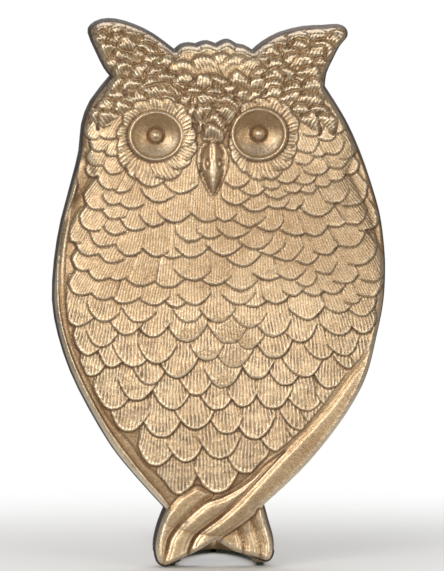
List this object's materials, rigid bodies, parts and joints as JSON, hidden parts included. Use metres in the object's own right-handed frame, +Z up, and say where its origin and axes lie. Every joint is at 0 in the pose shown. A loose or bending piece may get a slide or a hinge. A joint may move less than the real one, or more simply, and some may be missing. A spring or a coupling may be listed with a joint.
{
  "type": "book end",
  "caption": "Owl book end: hollow cast relief plaque with a felt-lined steel back plate and a forked steel foot that slides under the books.",
  "frame": {"origin": "on the shelf, in the middle of the book end's bounding box", "axes": "+Z up, the owl faces -Y, the foot's tongue runs towards +Y under the books, +X to the right of someone looking at the owl"},
  "size_m": [0.1002, 0.1341, 0.1649],
  "materials": {
    "owl_finish": "antique gold finish on grey cast metal, satin, brown patina in the recesses",
    "plate_steel": "dark grey coated sheet steel, satin",
    "foot_steel": "antique gold finish on steel, satin",
    "screw_steel": "zinc-plated steel",
    "felt": "dark green wool felt"
  },
  "bodies": {
    "root": {"owl_casting": "owl_finish", "back_plate": "plate_steel", "foot_bracket": "foot_steel", "back_felt": "felt", "foot_felt_left": "felt", "foot_felt_right": "felt", "plate_screw_left_ear": "screw_steel", "plate_screw_right_ear": "screw_steel", "plate_screw_left_flank": "screw_steel", "plate_screw_right_flank": "screw_steel", "plate_screw_waist": "screw_steel", "lock_washer_1": "screw_steel", "lock_washer_2": "screw_steel", "lock_washer_3": "screw_steel", "lock_washer_4": "screw_steel", "bracket_screw_1": "screw_steel", "bracket_screw_2": "screw_steel", "bracket_screw_3": "screw_steel", "bracket_screw_4": "screw_steel"}
  },
  "joints": []
}
